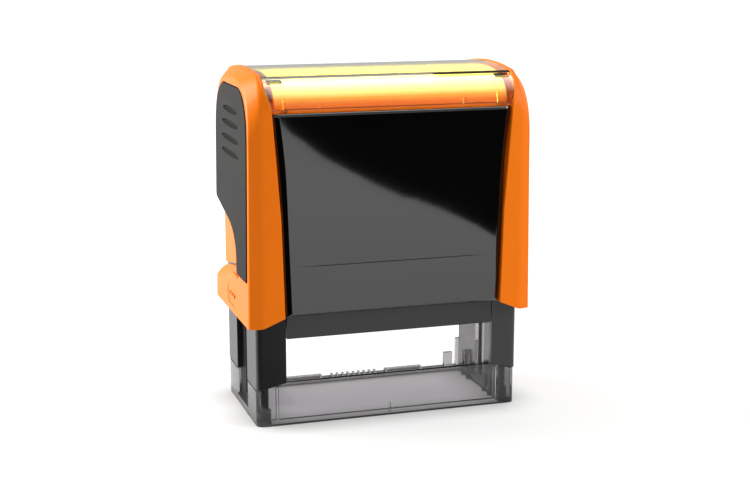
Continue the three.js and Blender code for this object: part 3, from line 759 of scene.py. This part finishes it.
class STAMP_OT_stage(bpy.types.Operator):
    """Floor with a painted glow and painted contact shadow, soft lights, the cards that paint reflections and
    highlights into glossy faces, and the camera
    """

    bl_idname = "stamp.stage"
    bl_label = "Stage"

    def execute(self, context):
        scene = context.scene
        scene.view_settings.view_transform = "Standard"
        world = bpy.data.worlds.new("Pale studio")
        world.use_nodes = True
        world.node_tree.nodes["Background"].inputs["Color"].default_value = (1, 1, 1, 1)
        path = world.node_tree.nodes.new("ShaderNodeLightPath")
        strength = map_range(world.node_tree, (0, 1), WORLD_STRENGTH)
        link = world.node_tree.links.new
        link(path.outputs["Is Camera Ray"], strength.inputs["Value"])
        link(strength.outputs["Result"], world.node_tree.nodes["Background"].inputs["Strength"])
        scene.world = world

        floor = block("floor", -FLOOR_HALF, FLOOR_HALF, -FLOOR_HALF, FLOOR_HALF, -10, 0)
        paper, main = shader("Pale floor")
        tree = paper.node_tree
        fill(
            main,
            {
                "Base Color": (0.25, 0.25, 0.25, 1),
                "Roughness": 0.9,
                "Specular IOR Level": 0.0,
                "Emission Color": (1, 1, 1, 1),
            },
        )
        # The floor glows: a painted light, dimmer near the stamp and brighter far from it.
        place = tree.nodes.new("ShaderNodeNewGeometry")
        distance = tree.nodes.new("ShaderNodeVectorMath")
        distance.operation = "LENGTH"
        glow = map_range(tree, FLOOR_GLOW_REACH, FLOOR_GLOW, smooth=True)
        # Painted contact shadow: ambient occlusion dims the floor's glow where it meets the stamp.
        contact_shadow_occlusion = tree.nodes.new("ShaderNodeAmbientOcclusion")
        contact_shadow_occlusion.inputs["Distance"].default_value = 0.010
        with_painted_shade = tree.nodes.new("ShaderNodeMath")
        with_painted_shade.operation = "MULTIPLY"
        tree.links.new(place.outputs["Position"], distance.inputs[0])
        tree.links.new(distance.outputs["Value"], glow.inputs["Value"])
        tree.links.new(glow.outputs["Result"], with_painted_shade.inputs[0])
        tree.links.new(contact_shadow_occlusion.outputs["AO"], with_painted_shade.inputs[1])
        tree.links.new(with_painted_shade.outputs[0], main.inputs["Emission Strength"])
        floor.data.materials.append(paper)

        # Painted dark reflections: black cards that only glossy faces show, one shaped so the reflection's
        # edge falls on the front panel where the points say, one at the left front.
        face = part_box("front_panel")[0].y
        edge = [floor_mirror_point(x, z, face) for x, z in PAINTED_REFLECTION_EDGE]
        beyond = edge[0] + (edge[0] - edge[1]).normalized() * 2
        rest = [(0.165, edge[-1].y), (0.165, 0.05), (2.5, 0.05), (2.5, beyond.y)]
        outline = [tuple(beyond[:2])] + [tuple(p[:2]) for p in edge] + rest
        black, main = shader("Card black")
        fill(main, {"Base Color": (0.004, 0.004, 0.004, 1), "Roughness": 1.0, "Specular IOR Level": 0.0})
        for name, corners in (
            ("dark_card_right", outline),
            ("dark_card_left", [(-0.7, -0.7), (-0.022, -0.7), (-0.022, -0.03), (-0.7, -0.03)]),
        ):
            card = new_mesh(name, [(x / MM, y / MM, 1.0) for x, y in corners], [tuple(range(len(corners)))])
            card.data.materials.append(black)
            paint_as_reflection(card)

        # Painted highlights: glowing cards that only glossy faces show, one behind the stamp and one above
        # the window that brightens towards the rear.
        rear = [(-3000, 1500, 2), (3000, 1500, 2), (3000, 1500, 1500), (-3000, 1500, 1500)]
        above = [(-60, -390, 350), (360, -390, 350), (360, 90, 565), (-60, 90, 565)]
        for name, corners, glow in (
            ("bright_card_rear", rear, ("Rear glow", 0.7, 0.7, (0, 0, 1), (0.0, 1.0))),
            ("bright_card_above", above, ("Window glow", 0.0, 14.0, (0, 1, 0), (-0.36, 0.02))),
        ):
            card = new_mesh(name, corners, [(0, 1, 2, 3)])
            card.data.materials.append(painted_highlight_material(*glow))
            paint_as_reflection(card)

        soft_light("Left softbox", (-0.68, 0.42, 0.28), (0, 0, 0.05), 0.5, 0.5, 15.0, WARM)
        soft_light("Right softbox", (0.75, -0.42, 0.35), (0, 0, 0.05), 0.4, 0.5, 6.0, WARMER)
        soft_light("Top softbox", (0.0, 0.20, 0.85), (0, 0, 0.05), 0.6, 0.4, 4.0)

        camera = bpy.data.cameras.new("Camera")
        camera.lens = CAMERA_LENS
        camera.clip_start = 0.01
        view = bpy.data.objects.new("Camera", camera)
        level = math.cos(CAMERA_PITCH)
        look = Vector((math.sin(CAMERA_YAW) * level, math.cos(CAMERA_YAW) * level, -math.sin(CAMERA_PITCH)))
        view.location = CAMERA_PLACE
        view.rotation_euler = look.to_track_quat("-Z", "Y").to_euler()
        scene.collection.objects.link(view)
        scene.camera = view
        return {"FINISHED"}


# ---- Cheeks ----------------------------------------------------------------------------------

NOTCH_FLOOR = 36.9
DOOR_TOP = box_mm("rear_panel")[0].z
DOOR_FRONT = 13.5
LIP, LIP_INSET = 1.3, 1.95  # how far the cheek reaches behind the panel's edge, and how deep
LOCK_GAP = 0.08  # round each lock button
CAVITY_X, CAVITY_Y, UPPER_CAVITY_Y = 36.1, 19, 12.3
UPPER_CAVITY_Z = (73, 84.1)
DOOR_X, DOOR_FLOOR = 33.4, 36.2
THROUGH_X = 20  # where the notch's opening to the inside starts
THROUGH_Z = (36.7, 53.6)
THROUGH_CENTRE = (18, 45)  # inside that opening, to order its points round
LEDGE_CORNER = Vector((38.2, 0, 35.9))
LEDGE_TILT = math.radians(-9.5)
POCKET_GAP, POCKET_DEPTH = 0.16, 0.9  # round and under each grip


class STAMP_OT_cheeks(bpy.types.Operator):
    """The two orange ends of the cap, from the seam round the corner to the flat side"""

    bl_idname = "stamp.cheeks"
    bl_label = "Cheeks"

    def execute(self, context):
        right = self.outer_shell()
        lock_low, lock_high = box_mm("right_lock_button")
        lock_z = (lock_low.z + lock_high.z) / 2
        lock_half = (lock_high.z - lock_low.z) / 2 + LOCK_GAP
        lock_hole = stadium(lock_high.y + LOCK_GAP, lock_half, 0, lock_z)
        tilt = Matrix.Rotation(LEDGE_TILT, 4, "X")
        bevel = prism("Ledge bevel", "Y", [(0, 0), (4, 0), (4, 4), (-2.6, 4)], -9, 26)
        bevel.data.transform(Matrix.Translation(LEDGE_CORNER * MM) @ tilt)
        notch = notch_outline()
        through = [p for p in notch if p[0] > DOOR_FRONT]
        through += [(DOOR_FRONT, z) for z in THROUGH_Z]
        middle_y, middle_z = THROUGH_CENTRE
        through.sort(key=lambda p: math.atan2(p[1] - middle_z, p[0] - middle_y))
        cut(
            right,
            block("Cavity", 0, CAVITY_X, -CAVITY_Y, CAVITY_Y, 0, SIDE_SHOULDER - 0.3),
            block("Upper cavity", 0, CAVITY_X, -UPPER_CAVITY_Y, UPPER_CAVITY_Y, *UPPER_CAVITY_Z),
            prism("Notch", "X", notch, NOTCH_FLOOR, FAR),
            prism("Through notch", "X", through, THROUGH_X, FAR),
            block("Door", 0, DOOR_X, DOOR_FRONT, FAR, DOOR_FLOOR, DOOR_TOP),
            bevel,
            prism("Grip pocket", "X", grip_outline(POCKET_GAP), lambda y, z: side_x(z) - POCKET_DEPTH, FAR),
            prism("Lock hole", "X", lock_hole, 35, FAR),
        )
        soften(right, size("cheek_edge"), 3, 38)
        left = mirrored(right, "cheek_left")
        for piece, node in ((right, "right_cheek"), (left, "left_cheek")):
            finish_piece(piece, "cap", "orange_gloss", finish(orange_plastic), node)
        return {"FINISHED"}

    def outer_shell(self):
        """The cheek's outside as a full solid: rounded seam, flat face, corner and flat side."""
        outer, flat = cap_arch(), side_arch()
        rows = 2  # stations below the shoulder, at the front and at the rear
        columns = [self.corner_profile(k, rows, outer, flat) for k in range(len(outer) + 2 * rows)]
        rings = [[column[i] for column in columns] for i in range(len(columns[0]))]
        return loft("cheek_right", rings, folded=True)

    def corner_profile(self, k, rows, outer, flat):
        """One line of points from the seam to the flat side, at station k round the arch."""
        last = len(outer) - 1
        i = min(max(k - rows, 0), last)
        (y, z), (side_y, side_z) = outer[i], flat[i]
        inner_y, inner_z = cap_arch(LIP_INSET)[i]
        lip = LIP if z < box_mm("front_panel")[1].z else 0.03
        drop = rows - k if k < rows else k - rows - last
        low = drop / rows if drop > 0 else 0.0

        def place(x, py, pz):
            return Vector((x, py, pz + (underside(x) - pz) * low))

        flat_x = FLAT_TO - max(0.0, z - SIDE_SHOULDER) * 0.06
        edge = seam_x(z if low == 0 else z + (CAP_BOTTOM - z) * low)
        toward = Vector((0, -side_y, 55 - side_z if low == 0 and 0 < i < last else 0))
        inward = toward.normalized() * 1.2
        side_height = side_z if low == 0 else side_z + (CAP_BOTTOM - side_z) * low
        points = [
            place(edge - lip, inner_y, inner_z),
            place(edge, inner_y, inner_z),
            place(edge, y, z),
            place(flat_x, y * (1 - FACE_FALL), z),
            place(side_x(side_height), side_y, side_z),
        ]
        rim = points[4] + inward
        rim.x = side_x(rim.z)
        points.append(rim)
        return filleted(points, [0, 0, 0.18, 1.0, size("corner_edge"), 0], 4)


# ---- Grips -----------------------------------------------------------------------------------

GRIP_PROUD = 0.32
GRIP_SUNK = 0.7
GROOVES = ((8.6, 80.6), (9.8, 77.0), (10.3, 73.1), (10.4, 69.4))  # half-length and height of each


class STAMP_OT_grips(bpy.types.Operator):
    """The soft grey pads on the cap's flat sides, with four grooves"""

    bl_idname = "stamp.grips"
    bl_label = "Grips"

    def execute(self, context):
        outline = grip_outline()
        edge = size("grip_edge")
        rings = []
        rounding = [math.radians(15 * k) for k in range(7)]
        steps = [(edge * (1 - math.cos(a)), GRIP_PROUD - edge * (1 - math.sin(a))) for a in rounding]
        for inset, rise in [(0, -GRIP_SUNK)] + steps:
            rings.append([(side_x(z) + rise, y, z) for y, z in self.inset_outline(outline, inset)])
        right = loft("grip_right", rings)
        grooves = [self.groove(half, z) for half, z in GROOVES]
        soften(right, 0.12, 2, 30)
        settle(right)
        cut(right, *grooves)
        right.data.set_sharp_from_angle(angle=math.radians(30))
        even_shading(right)
        left = mirrored(right, "grip_left")
        for piece, node in ((right, "right_grip"), (left, "left_grip")):
            finish_piece(piece, "cap", "soft_grey", finish(soft_grey), node)
        return {"FINISHED"}

    def inset_outline(self, outline, amount):
        """The clockwise outline moved inward by an amount."""
        made = []
        count = len(outline)
        for i, p in enumerate(outline):
            before = Vector(p) - Vector(outline[i - 1])
            after = Vector(outline[(i + 1) % count]) - Vector(p)
            run = before.normalized() + after.normalized()
            normal = Vector((-run.y, run.x)).normalized()
            made.append((p[0] - normal.x * amount, p[1] - normal.y * amount))
        return made

    def groove(self, half, z):
        """A scoop that is deep under its upper edge and runs out towards its lower one."""
        reach = size("groove")
        rings = []
        for k in range(25):
            t = -1 + k / 12
            r = max(0.02, reach * math.sqrt(max(0.0, 1 - abs(t) ** 2.6)))
            face = side_x(z) + GRIP_PROUD
            profile = [(1.2, 1.1), (0.05, 1.05), (-0.5, 0.85), (-0.75, 0.45), (-0.75, 0.05)]
            profile += [(-0.6, -0.35), (-0.3, -0.75), (0.1, -1.15), (1.2, -1.5)]
            depth = min(1.0, r / reach)
            rings.append([(face + u * depth, -0.4 + t * half, z + v * r) for u, v in profile])
        return loft("Groove", rings)


# ---- Panels ----------------------------------------------------------------------------------


class STAMP_OT_panels(bpy.types.Operator):
    """The glossy panels at the front and the rear of the cap, each with a sloping rim"""

    bl_idname = "stamp.panels"
    bl_label = "Panels"

    def execute(self, context):
        front = self.panel("panel_front", "front_panel", 1)
        line = [(-26.6, 42.8)] + [(x, 42.93) for x in (-20, 0, 20)] + [(26.2, 42.8)]
        line += [(x, 42.67) for x in (20, 0, -20)]
        soften(front, 0.28, 4, 16)
        settle(front)
        cut(front, prism("Line", "Y", line, -FAR, -21.45))
        even_shading(front)
        finish_piece(front, "cap", "gloss_black", finish(gloss_panel), "front_panel")
        rear = self.panel("panel_rear", "rear_panel", -1)
        soften(rear, 0.28, 4, 16)
        finish_piece(rear, "cap", "gloss_black", finish(gloss_panel), "rear_panel")
        return {"FINISHED"}

    def panel(self, name, node, facing):
        """A plate that follows the seam at its sides and the arch at its top."""
        low, high = box_mm(node)
        chamfer, drop = size("panel_chamfer"), size("panel_drop")
        arch = [p for p in cap_arch(0.25, 40)[:41] if p[1] < high.z - 0.2]
        heights = [low.z, low.z + 0.6 * chamfer]
        if low.z < SHOULDER - 4:
            heights += [low.z + (SHOULDER - low.z) * k / 8 for k in range(1, 8)]
        heights += [z for _, z in arch if z < high.z - 0.6 * chamfer - 0.1]
        heights += [high.z - 0.6 * chamfer, high.z]
        rings = []
        for k, z in enumerate(heights):
            y = self.arch_depth(arch, z)
            back = y + 1.4
            x = seam_x(z) - 0.2
            sunk = {0: drop, len(heights) - 1: 0.12}.get(k, 0.0)
            half = [(x, back), (x, y + drop), (x - chamfer, y + sunk)]
            ring = [(-px, py) for px, py in half] + half[::-1]
            rings.append([(px, facing * py, z) for px, py in ring])
        return loft(name, rings)

    def arch_depth(self, arch, z):
        """The arch's front at height z."""
        if z <= SHOULDER:
            return arch[0][0]
        for (y0, z0), (y1, z1) in zip(arch, arch[1:]):
            if z <= z1:
                return y0 + (y1 - y0) * (z - z0) / (z1 - z0)
        return arch[-1][0]


# ---- Index window and what is under it -------------------------------------------------------

WINDOW_OUTER, WINDOW_INNER = 0.25, 1.65  # how far the wall's faces lie inside the cap's outline
CREASE_DEPTH, CREASE_HALF = 0.35, 0.2
END_RIB_X, MIDDLE_RIB_X, RIB_BOTTOM = 28.4, 19, 82.2
SLOT_X, SLOT_FRONT, SLOT_Z = (28.3, 32.2), 15.9, (88.55, 89.15)
THUMB_MARK_X, THUMB_MARK_Z, THUMB_MARK_FLOOR = 30.4, 83.2, 21.25


class STAMP_OT_index_window(bpy.types.Operator):
    """The amber window over the cap, its end clips and the card below it"""

    bl_idname = "stamp.index_window"
    bl_label = "Index window"

    def execute(self, context):
        low = box_mm("index_window")[0]
        rings = []
        for (y0, z0), (y1, z1) in self.section(low.z):
            x = seam_x(z0) - 0.2
            rings.append([(-x, y0, z0), (x, y0, z0), (x, y1, max(z1, low.z)), (-x, y1, max(z1, low.z))])
        window = loft("window_amber", rings)
        ribs = []
        slots = []
        for side in (-1, 1):
            for facing in (-1, 1):
                ribs.append(self.rib(side * END_RIB_X, 0.3, 1.9, 88.6, facing))
                ribs.append(self.rib(side * MIDDLE_RIB_X, 0.4, 1.85, 84.2, facing))
                x0, x1 = sorted(side * x for x in SLOT_X)
                y0, y1 = sorted((facing * SLOT_FRONT, facing * FAR))
                slots.append(block("Slot", x0, x1, y0, y1, *SLOT_Z))
                y0, y1 = sorted((facing * THUMB_MARK_FLOOR, facing * FAR))
                mark = stadium(1.9, 0.65, side * THUMB_MARK_X, THUMB_MARK_Z)
                slots.append(prism("Thumb mark", "Y", mark, y0, y1))
        join(window, *ribs)
        cut(window, *slots)
        soften(window, 0.1, 2, 30)
        finish_piece(window, "index_window", "amber_clear", finish(amber_clear), "index_window")
        dress_node("index_card", finish(index_paper), 0.06)
        dress_node("cap_core", finish(core_plastic), 0.25)
        return {"FINISHED"}

    def section(self, bottom):
        """Outer and inner points of the window's wall, front to rear, with a groove at each crease."""
        steps = 30
        outer, inner = cap_arch(WINDOW_OUTER, steps), cap_arch(WINDOW_INNER, steps)
        made = []
        for i, (out, back) in enumerate(zip(outer, inner)):
            if out[1] < bottom:
                continue
            if i not in (steps, len(outer) - 1 - steps):
                made.append((out, back))
                continue
            here, before, after = Vector(out), Vector(outer[i - 1]), Vector(outer[i + 1])
            floor = here + (Vector(back) - here).normalized() * CREASE_DEPTH
            made.append((tuple(here + (before - here).normalized() * CREASE_HALF), back))
            made.append((tuple(floor), back))
            made.append((tuple(here + (after - here).normalized() * CREASE_HALF), back))
        return made

    def rib(self, x, half, inset, top, facing):
        """An upright rib on the window's inner face."""
        outer, inner = cap_arch(1.5, 20)[:21], cap_arch(inset, 20)[:21]
        outer = [p for p in outer if RIB_BOTTOM < p[1] < top]
        inner = [p for p in inner if RIB_BOTTOM < p[1] < top]
        outline = [(-facing * y, z) for y, z in outer + inner[::-1]]
        return prism("Rib", "X", outline, x - half, x + half)


# ---- Pieces kept from the CAD ----------------------------------------------------------------


class STAMP_OT_clear_base(bpy.types.Operator):
    """The smoke-tinted base that stands on the paper"""

    bl_idname = "stamp.clear_base"
    bl_label = "Clear base"

    def execute(self, context):
        dress_node("clear_base", finish(smoke_clear), size("base_edge"))
        return {"FINISHED"}


class STAMP_OT_frame_parts(bpy.types.Operator):
    """The black frame: its ends, crossbars, deck and spring post, and the cap's black parts"""

    bl_idname = "stamp.frame_parts"
    bl_label = "Frame"

    def execute(self, context):
        names = ["right_end_frame", "left_end_frame", "front_crossbar", "rear_crossbar"]
        names += ["pad_deck", "spring_post", "spring_cup", "right_axle_arm", "left_axle_arm"]
        for name in names:
            dress_node(name, finish(satin_black), size("frame_edge"))
        dress_node("rear_bar", finish(orange_plastic), 0.4)
        return {"FINISHED"}


class STAMP_OT_cartridge(bpy.types.Operator):
    """The ink cartridge with its lid and pad"""

    bl_idname = "stamp.cartridge"
    bl_label = "Ink cartridge"

    def execute(self, context):
        dress_node("ink_cartridge", finish(satin_black), 0.3)
        dress_node("cartridge_lid", finish(satin_black), 0.3)
        dress_node("ink_pad", finish(ink_felt), 0.3)
        return {"FINISHED"}


class STAMP_OT_text_plate(bpy.types.Operator):
    """The text plate with its axle pins, flip cams, cushion and rubber die"""

    bl_idname = "stamp.text_plate"
    bl_label = "Text plate"

    def execute(self, context):
        dress_node("plate_carrier", finish(satin_black), 0.25)
        for side in ("right", "left"):
            dress_node(side + "_flip_cam", finish(satin_black), 0.15)
            dress_node(side + "_axle_pin", finish(spring_steel), 0.3)
        dress_node("foam_cushion", finish(cell_foam), 0.15)
        dress_node("rubber_die", finish(die_rubber), 0.1)
        return {"FINISHED"}


class STAMP_OT_lock_buttons(bpy.types.Operator):
    """The two buttons on the cap's feet"""

    bl_idname = "stamp.lock_buttons"
    bl_label = "Lock buttons"

    def execute(self, context):
        for side in ("right", "left"):
            dress_node(side + "_lock_button", finish(orange_plastic), 0.2)
        return {"FINISHED"}


class STAMP_OT_return_spring(bpy.types.Operator):
    """The round-wire coil spring, with closed ends, that lifts the cap"""

    bl_idname = "stamp.return_spring"
    bl_label = "Return spring"

    def execute(self, context):
        low, high = box_mm("return_spring")
        wire = 0.55
        radius = high.x - wire
        turns = 8
        sides = 14
        steps = turns * 40
        rings = []
        for k in range(steps + 1):
            t = k / steps
            a = t * turns * 2 * math.pi
            height = low.z + wire + (high.z - low.z - 2 * wire) * self.pitch(t)
            centre = Vector((radius * math.cos(a), radius * math.sin(a), height))
            out = Vector((math.cos(a), math.sin(a), 0))
            ring = []
            for n in range(sides):
                b = 2 * math.pi * n / sides
                ring.append(centre + out * wire * math.cos(b) + Vector((0, 0, wire * math.sin(b))))
            rings.append(ring)
        spring = loft("coil_spring", rings)
        spring.data.shade_smooth()
        finish_piece(spring, "base", "steel", finish(spring_steel), "return_spring")
        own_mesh(spring)
        return {"FINISHED"}

    def pitch(self, t):
        """Height along the spring: flat coils at both ends, even ones between."""
        end = 0.09
        if t < end:
            return 0.25 * t
        if t > 1 - end:
            return 1 - 0.25 * (1 - t)
        low = 0.25 * end
        return low + (1 - 2 * low) * (t - end) / (1 - 2 * end)


# ---- Add-on ----------------------------------------------------------------------------------


class STAMP_PT_panel(bpy.types.Panel):
    """Lists the settings and the steps that build the stamp"""

    bl_label = "Stamp"
    bl_idname = "STAMP_PT_panel"
    bl_space_type = "VIEW_3D"
    bl_region_type = "UI"
    bl_category = "Stamp"

    def draw(self, context):
        for settings in (context.scene.stamp_colours, context.scene.stamp_sizes):
            for name in settings.__annotations__:
                self.layout.prop(settings, name)
        for step in STEPS:
            self.layout.operator(step.bl_idname)


STEPS = (
    STAMP_OT_stage,
    STAMP_OT_cheeks,
    STAMP_OT_grips,
    STAMP_OT_panels,
    STAMP_OT_index_window,
    STAMP_OT_clear_base,
    STAMP_OT_frame_parts,
    STAMP_OT_cartridge,
    STAMP_OT_text_plate,
    STAMP_OT_lock_buttons,
    STAMP_OT_return_spring,
)


def register():
    for made in (StampColours, StampSizes, STAMP_PT_panel, *STEPS):
        bpy.utils.register_class(made)
    bpy.types.Scene.stamp_colours = bpy.props.PointerProperty(type=StampColours)
    bpy.types.Scene.stamp_sizes = bpy.props.PointerProperty(type=StampSizes)


def unregister():
    del bpy.types.Scene.stamp_sizes
    del bpy.types.Scene.stamp_colours
    for made in (*reversed(STEPS), STAMP_PT_panel, StampSizes, StampColours):
        bpy.utils.unregister_class(made)


def main():
    register()
    for step in STEPS:
        group, name = step.bl_idname.split(".")
        getattr(getattr(bpy.ops, group), name)()
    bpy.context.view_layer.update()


if __name__ == "__main__":
    main()
